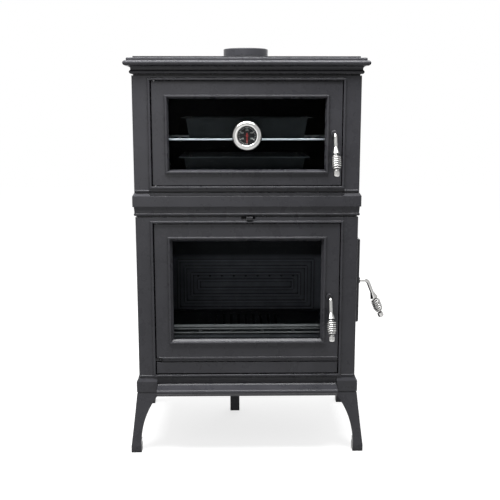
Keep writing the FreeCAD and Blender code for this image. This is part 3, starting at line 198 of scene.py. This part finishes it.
# Soft studio lights: place and aim from the foot of the front's middle, size, and power in watts
lamps = {
    "main_light": {"place": (-0.22, -0.34, 2.25), "aim": (-0.2, 0.0, 0.8), "size": (2.0, 0.7), "power": 100},
    "back_light": {"place": (0.6, 2.6, 1.6), "aim": (-0.2, 0.0, 0.8), "size": (2.0, 2.0), "power": 16},
    "front_light": {"place": (-0.5, -2.2, 0.75), "aim": (0.0, 0.0, 0.4), "size": (1.0, 1.0), "power": 5.5},
}

# Camera at the photograph's angle
photo_pixels = 500.0
focal_pixels = 800.0
camera_distance = 2.060
camera_height = 0.925
camera_side = 0.0076
camera_pitch_deg = 10.27
camera_orbit_deg = 1.0

# Places read from the solids
top_low, top_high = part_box("top_plate")
centre_x = (top_low.x + top_high.x) / 2
front_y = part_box("oven_door_leaf")[1].y - leaf_wall
dial_low, dial_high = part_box("thermometer_dial")
dial_x = (dial_low.x + dial_high.x) / 2
dial_z = (dial_low.z + dial_high.z) / 2
dial_y = front_y + dial_inset


# Shader helpers
def new_material(name):
    material = bpy.data.materials.new(name)
    material.use_nodes = True
    tree = material.node_tree
    tree.nodes.clear()
    out = tree.nodes.new("ShaderNodeOutputMaterial")
    return material, tree, out


def add(tree, kind, inputs=None, **settings):
    """New shader node, with values or links for its inputs by name."""
    node = tree.nodes.new(kind)
    for name, value in settings.items():
        setattr(node, name, value)
    for name, value in (inputs or {}).items():
        socket = node.inputs[name]
        if isinstance(value, bpy.types.NodeSocket):
            tree.links.new(value, socket)
        else:
            socket.default_value = value
    return node


def noise(tree, scale, detail=noise_detail):
    place = add(tree, "ShaderNodeTexCoord").outputs["Object"]
    inputs = {"Vector": place, "Scale": scale, "Detail": detail, "Roughness": noise_roughness}
    return add(tree, "ShaderNodeTexNoise", inputs).outputs["Fac"]


def ramp(tree, fac, shares, low, high):
    """Colour ramp from a low colour to a high one, between two shares."""
    node = add(tree, "ShaderNodeValToRGB", {"Fac": fac})
    for element, share, colour in zip(node.color_ramp.elements, shares, (low, high)):
        element.position = share
        element.color = (*colour, 1.0)
    return node.outputs["Color"]


def grey_ramp(tree, fac, low, high, shares=patch_shares):
    return ramp(tree, fac, shares, (low,) * 3, (high,) * 3)


def openness(tree, reach):
    """One in the open, and less where other surfaces lie within reach."""
    node = add(tree, "ShaderNodeAmbientOcclusion", {"Distance": reach}, samples=openness_samples)
    return node.outputs["AO"]


def bump(tree, glow_with_painted_shadow, depth, height, **inputs):
    inputs = {"Strength": glow_with_painted_shadow, "Distance": depth, "Height": height, **inputs}
    return add(tree, "ShaderNodeBump", inputs).outputs["Normal"]


def shaded(tree, colour, shade):
    inputs = {mix_factor: 1.0, mix_first: colour, mix_second: shade}
    return add(tree, "ShaderNodeMix", inputs, data_type="RGBA", blend_type="MULTIPLY").outputs[mix_result]


def surface(name, dark, light, rough, metallic=0.0, patch=18.0, grain_scale=900.0, grain_strength=0.2,
            grain_depth=0.0002, edge=0.001, specular=0.5, crevice_shade=0.0, crevice_shade_reach=0.03,
            crevice_shade_span=(0.3, 0.76), darker_above_heights=None):
    """Opaque finish: soft patches, a grain, rounded edges, painted shade in crevices and a colour that
    darkens above a height.
    """
    material, tree, out = new_material(name)
    colour = ramp(tree, noise(tree, patch), patch_shares, dark, light)
    # Painted shade: the colour is darkened where other surfaces lie near, in place of the shade that falls in
    # crevices
    if crevice_shade:
        shade = grey_ramp(tree, openness(tree, crevice_shade_reach), 1 - crevice_shade, 1.0, crevice_shade_span)
        colour = shaded(tree, colour, shade)
    # The colour is darkened above a height, over the top of the piece
    if darker_above_heights:
        place = add(tree, "ShaderNodeTexCoord").outputs["Object"]
        height = add(tree, "ShaderNodeSeparateXYZ", {0: place}).outputs["Z"]
        colour = shaded(tree, colour, grey_ramp(tree, height, 1.0, darker_above_share, darker_above_heights))
    roughness = grey_ramp(tree, noise(tree, patch * rough_patch_times), *rough)
    rounded = add(tree, "ShaderNodeBevel", {"Radius": edge}, samples=bevel_samples).outputs["Normal"]
    normal = bump(tree, grain_strength, grain_depth, noise(tree, grain_scale), Normal=rounded)
    shader = add(tree, "ShaderNodeBsdfPrincipled",
                 {"Base Color": colour, "Roughness": roughness, "Metallic": metallic,
                  "Specular IOR Level": specular, "Normal": normal})
    tree.links.new(shader.outputs["BSDF"], out.inputs["Surface"])
    return material


def clear_glass(name, tint, shine):
    """Thin glass: clear, with a weak mirror that grows at a slant."""
    material, tree, out = new_material(name)
    smear = grey_ramp(tree, noise(tree, smear_scale), *smear_rough)
    through = add(tree, "ShaderNodeBsdfTransparent", {"Color": (*tint, 1.0)}).outputs["BSDF"]
    mirror = add(tree, "ShaderNodeBsdfGlossy", {"Roughness": smear}).outputs["BSDF"]
    slant = add(tree, "ShaderNodeLayerWeight", {"Blend": slant_blend}).outputs["Fresnel"]
    share = add(tree, "ShaderNodeMath", {0: slant, 1: shine}, operation="MULTIPLY").outputs["Value"]
    both = add(tree, "ShaderNodeMixShader", {0: share, 1: through, 2: mirror})
    tree.links.new(both.outputs["Shader"], out.inputs["Surface"])
    return material


def braid(name, dark, light):
    """Woven glass-fibre rope."""
    material, tree, out = new_material(name)
    weave = noise(tree, weave_scale, weave_detail)
    shader = add(tree, "ShaderNodeBsdfPrincipled",
                 {"Base Color": ramp(tree, weave, weave_shares, dark, light), "Roughness": rope_rough,
                  "Normal": bump(tree, weave_strength, weave_depth, weave)})
    tree.links.new(shader.outputs["BSDF"], out.inputs["Surface"])
    return material


finishes = {name: surface(name, **look) for name, look in looks.items()}
finishes.update({name: clear_glass(name, **look) for name, look in glass_looks.items()})
finishes["rope_seal"] = braid("rope_seal", rope_dark, rope_light)

for row in frame["record"]["subparts"]:
    node = nodes[row["node"]]
    node.data.materials.clear()
    node.data.materials.append(finishes[own_finish.get(row["node"], row["material_slot"])])


# Mesh helpers
def mesh_object(name, points, faces, material, smooth=True):
    mesh = bpy.data.meshes.new(name)
    mesh.from_pydata(points, [], faces)
    mesh.materials.append(material)
    for face in mesh.polygons:
        face.use_smooth = smooth
    mesh.update()
    piece = bpy.data.objects.new(name, mesh)
    bpy.context.scene.collection.objects.link(piece)
    return piece


def tube(path, sides, section, closed):
    """Points and faces of a tube; section gives (u, v) at a share round it and an index along it."""
    count = len(path)
    points = []
    side = None
    for index, here in enumerate(path):
        ahead = path[(index + 1) % count] if closed else path[min(index + 1, count - 1)]
        behind = path[index - 1] if closed or index else path[0]
        along = (ahead - behind).normalized()
        if side is None:
            side = along.orthogonal()
        side = (side - along * side.dot(along)).normalized()
        other = along.cross(side)
        for step in range(sides):
            u, v = section(step / sides, index)
            points.append(here + side * u + other * v)
    faces = []
    for index in range(count if closed else count - 1):
        nxt = (index + 1) % count
        for step in range(sides):
            turn = (step + 1) % sides
            faces.append((index * sides + step, index * sides + turn, nxt * sides + turn, nxt * sides + step))
    if not closed:
        faces.append(tuple(range(sides))[::-1])
        faces.append(tuple((count - 1) * sides + step for step in range(sides)))
    return points, faces


# Coil grips of the three handles
def coil_place(turn):
    """Point of the coil's centre line, on the grip's own axis along z."""
    ease = max(0.0, min(1.0, turn / coil_first_turns, (coil_turns - turn) / coil_last_turns))
    radius = coil_end_radius + (coil_mid_radius - coil_end_radius) * math.sin(math.pi / 2 * ease)
    angle = 2 * math.pi * turn
    height = bell_end + coil_tail + (coil_length - coil_tail * 2) * turn / coil_turns
    return Vector((radius * math.cos(angle), radius * math.sin(angle), height))


def coil_end(turn, height):
    angle = 2 * math.pi * turn
    return Vector((coil_end_radius * math.cos(angle), coil_end_radius * math.sin(angle), height))


def eased(start, heading, end, leaving, steps):
    """Points of a smooth bend from one point and heading to another, without its end."""
    span = (end - start).length
    points = []
    for index in range(steps):
        t = index / steps
        a = (2 * t ** 3 - 3 * t ** 2 + 1) * start + (t ** 3 - 2 * t ** 2 + t) * span * heading
        b = (3 * t ** 2 - 2 * t ** 3) * end + (t ** 3 - t ** 2) * span * leaving
        points.append(a + b)
    return points


def coil_path():
    up = Vector((0, 0, 1))
    first = coil_place(0)
    last = coil_place(coil_turns)
    first_heading = (coil_place(coil_nudge_turns) - first).normalized()
    last_heading = (last - coil_place(coil_turns - coil_nudge_turns)).normalized()
    start = coil_end(-coil_lead_share, bell_end - coil_recess)
    finish = coil_end(coil_turns + coil_lead_share, bell_end + coil_length + coil_recess)
    bend_in = start + up * coil_wire
    bend_out = finish - up * coil_wire
    steps = int(coil_steps_per_turn * coil_turns)
    path = [start] + eased(bend_in, up, first, first_heading, coil_lead_steps)
    path += [coil_place(coil_turns * index / steps) for index in range(steps)]
    path += eased(last, last_heading, bend_out, up, coil_lead_steps) + [bend_out, finish]
    return path


def coil_section(share, index):
    angle = 2 * math.pi * share
    return coil_wire / 2 * math.cos(angle), coil_wire / 2 * math.sin(angle)


def coil_grip(name, turn_deg):
    low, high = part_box(name + "_handle_tongue")
    middle = (low + high) / 2
    if turn_deg:
        place = Vector((high.x + tongue_back, middle.y, low.z + tongue_hub))
    else:
        place = Vector((middle.x, low.y - tongue_back, low.z + tongue_hub))
    hang = Matrix.Rotation(math.radians(180 - handle_lean_deg), 4, "X")
    lean = Matrix.Translation((0, -handle_reach, 0)) @ hang
    seat = Matrix.Translation(place) @ Matrix.Rotation(math.radians(turn_deg), 4, "Z") @ lean
    points, faces = tube([seat @ point for point in coil_path()], coil_sides, coil_section, False)
    piece = mesh_object(name + "_grip_coil", points, faces, finishes["bright_nickel"])
    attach(piece, name + "_handle")
    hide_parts(name + "_handle_coil")


for grip_name, grip_turn_deg in (("oven", 0), ("fire", 0), ("side", 90)):
    coil_grip(grip_name, grip_turn_deg)


# Rope seals of the three doors
def rope_loop(u0, u1, v0, v1):
    """Closed run of (u, v) points round a rectangle with rounded corners."""
    corners = [(u1 - rope_corner, v0 + rope_corner, -90), (u1 - rope_corner, v1 - rope_corner, 0),
               (u0 + rope_corner, v1 - rope_corner, 90), (u0 + rope_corner, v0 + rope_corner, 180)]
    points = []
    for index, (u, v, start_deg) in enumerate(corners):
        for step in range(rope_turn_steps + 1):
            angle = math.radians(start_deg + 90 * step / rope_turn_steps)
            points.append((u + rope_corner * math.cos(angle), v + rope_corner * math.sin(angle)))
        nu, nv, next_deg = corners[(index + 1) % len(corners)]
        angle = math.radians(next_deg)
        end = (nu + rope_corner * math.cos(angle), nv + rope_corner * math.sin(angle))
        last = points[-1]
        count = int(math.dist(last, end) / rope_step)
        for step in range(1, count):
            share = step / count
            points.append((last[0] + (end[0] - last[0]) * share, last[1] + (end[1] - last[1]) * share))
    return points


def rope_seal(name, body, flat_axis):
    """Braided rope round a door's back, in the plane square to one axis."""
    low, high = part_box(name)
    u_axis, v_axis = [axis for axis in range(3) if axis != flat_axis]
    half = rope_width / 2
    loop = rope_loop(low[u_axis] + half, high[u_axis] - half, low[v_axis] + half, high[v_axis] - half)
    path = []
    for u, v in loop:
        point = Vector((0, 0, 0))
        point[u_axis] = u
        point[v_axis] = v
        point[flat_axis] = (low[flat_axis] + high[flat_axis]) / 2
        path.append(point)
    deep = (high[flat_axis] - low[flat_axis]) / 2
    run = [0.0]
    for a, b in zip(path, path[1:]):
        run.append(run[-1] + (b - a).length)
    radius = min(half, deep)

    def section(share, index):
        angle = 2 * math.pi * share
        twist = 2 * math.pi * run[index] / rope_strand_pitch
        relief = math.cos(rope_strands * angle + twist) * math.cos(rope_strands * angle - twist)
        r = radius * (1 - rope_relief_share * (1 - relief) / 2)
        return r * math.cos(angle), r * math.sin(angle)

    points, faces = tube(path, rope_sides, section, True)
    piece = mesh_object(name + "_braid", points, faces, finishes["rope_seal"])
    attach(piece, body)
    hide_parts(name)


rope_seal("oven_door_rope", "oven_door", 1)
rope_seal("fire_door_rope", "fire_door", 1)
rope_seal("side_door_rope", "side_door", 0)


# Marks on the thermometer's dial: ticks and plain numbers
def dial_place(radius, share):
    """Point on the dial at a share of the needle's sweep, which starts straight down and runs clockwise."""
    angle = math.radians(needle_sweep_deg * share)
    return Vector((dial_x - radius * math.sin(angle), dial_y - mark_lift, dial_z - radius * math.cos(angle)))


def dial_ticks():
    points = []
    faces = []
    ticks = number_steps * ticks_per_number
    for index in range(ticks + 1):
        share = index / ticks
        long_tick = index % ticks_per_number == 0
        wide = (tick_wide if long_tick else tick_thin) / 2
        inner = dial_place(tick_outer - (tick_long if long_tick else tick_short), share)
        outer = dial_place(tick_outer, share)
        across = (outer - inner).cross(Vector((0, 1, 0))).normalized() * wide
        base = len(points)
        points += [inner - across, inner + across, outer + across, outer - across]
        faces.append((base, base + 1, base + 2, base + 3))
    piece = mesh_object("dial_ticks", points, faces, finishes["dial_white"], smooth=False)
    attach(piece, "oven_door")


def dial_number(index):
    words = bpy.data.curves.new("dial_number", "FONT")
    words.body = str(index * number_value)
    words.size = number_size
    words.align_x = "CENTER"
    words.align_y = "CENTER"
    source = bpy.data.objects.new("dial_number_curve", words)
    mesh = bpy.data.meshes.new_from_object(source)
    mesh.transform(Matrix.Translation(dial_place(number_radius, index / number_steps))
                   @ Matrix.Rotation(math.pi / 2, 4, "X"))
    mesh.materials.clear()
    mesh.materials.append(finishes["dial_white"])
    number = bpy.data.objects.new("dial_number_" + str(index), mesh)
    bpy.context.scene.collection.objects.link(number)
    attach(number, "oven_door")
    bpy.data.objects.remove(source)


dial_ticks()
for number_index in range(number_steps + 1):
    dial_number(number_index)


# Pale floor and white world
def seen_rays(tree):
    """One for rays from the camera, from a mirror or through glass, and zero for light's own bounces."""
    rays = add(tree, "ShaderNodeLightPath").outputs
    straight = add(tree, "ShaderNodeMath", {0: rays["Is Camera Ray"], 1: rays["Is Transmission Ray"]},
                   operation="MAXIMUM").outputs["Value"]
    return add(tree, "ShaderNodeMath", {0: straight, 1: rays["Is Glossy Ray"]},
               operation="MAXIMUM").outputs["Value"]


def matt(tree, fac, tones):
    return add(tree, "ShaderNodeBsdfDiffuse", {"Color": grey_ramp(tree, fac, *tones)}).outputs["BSDF"]


def pale_floor():
    """White floor with a soft shadow: part glow and part matt where seen, matt where it only bounces; the
    matt part takes real shadow, and the glow is dimmed near the stove as a painted shadow.
    """
    material, tree, out = new_material("pale_floor")
    drift = noise(tree, floor_drift_scale)
    # Painted shadow: the glow is dimmed where the stove lies near the floor
    glow_with_painted_shadow = grey_ramp(tree, openness(tree, shadow_reach), *floor_glow_and_painted_shadow, (0.0, 1.0))
    glow = add(tree, "ShaderNodeEmission", {"Color": white, "Strength": glow_with_painted_shadow}).outputs["Emission"]
    shown = add(tree, "ShaderNodeAddShader", {0: matt(tree, drift, floor_matt), 1: glow}).outputs["Shader"]
    plain = matt(tree, drift, floor_bounce)
    both = add(tree, "ShaderNodeMixShader", {0: seen_rays(tree), 1: plain, 2: shown})
    tree.links.new(both.outputs["Shader"], out.inputs["Surface"])
    return material


half_floor = floor_size / 2
floor_corners = [(-half_floor, -half_floor, 0), (half_floor, -half_floor, 0), (half_floor, half_floor, 0),
                 (-half_floor, half_floor, 0)]
floor = mesh_object("floor", floor_corners, [(0, 1, 2, 3)], pale_floor(), smooth=False)

world = bpy.data.worlds.new("studio")
bpy.context.scene.world = world
world.use_nodes = True
sky = world.node_tree
sky.nodes.clear()
sky_out = add(sky, "ShaderNodeOutputWorld")
sky_place = add(sky, "ShaderNodeTexCoord").outputs["Generated"]
sky_rise = add(sky, "ShaderNodeSeparateXYZ", {0: sky_place}).outputs["Z"]
sky_light = ramp(sky, sky_rise, (0.0, sky_high_share), sky_low, sky_high)
lit = add(sky, "ShaderNodeBackground", {"Color": sky_light, "Strength": sky_strength}).outputs["Background"]
shown = add(sky, "ShaderNodeBackground", {"Color": white, "Strength": 1.0}).outputs["Background"]
sky_both = add(sky, "ShaderNodeMixShader", {0: seen_rays(sky), 1: lit, 2: shown})
sky.links.new(sky_both.outputs["Shader"], sky_out.inputs["Surface"])


# Soft studio lights
def softbox(name, place, aim, size, power):
    light = bpy.data.lights.new(name, "AREA")
    light.shape = "RECTANGLE"
    light.size, light.size_y = size
    light.energy = power
    lamp = bpy.data.objects.new(name, light)
    lamp.location = Vector((centre_x, front_y, 0)) + Vector(place)
    lamp.rotation_mode = "QUATERNION"
    lamp.rotation_quaternion = (Vector(aim) - Vector(place)).to_track_quat("-Z", "Y")
    bpy.context.scene.collection.objects.link(lamp)


for lamp_name, lamp_look in lamps.items():
    softbox(lamp_name, **lamp_look)

# Camera
camera_data = bpy.data.cameras.new("camera")
camera = bpy.data.objects.new("camera", camera_data)
bpy.context.scene.collection.objects.link(camera)
bpy.context.scene.camera = camera
camera_data.lens = camera_data.sensor_width * focal_pixels / photo_pixels
orbit = math.radians(-camera_orbit_deg)
camera.rotation_mode = "XYZ"
camera.rotation_euler = (math.radians(90 - camera_pitch_deg), 0, orbit)
camera.location = (centre_x + camera_distance * math.sin(orbit) + camera_side * math.cos(orbit),
                   front_y - camera_distance * math.cos(orbit) + camera_side * math.sin(orbit), camera_height)

bpy.context.scene.view_settings.view_transform = "Standard"
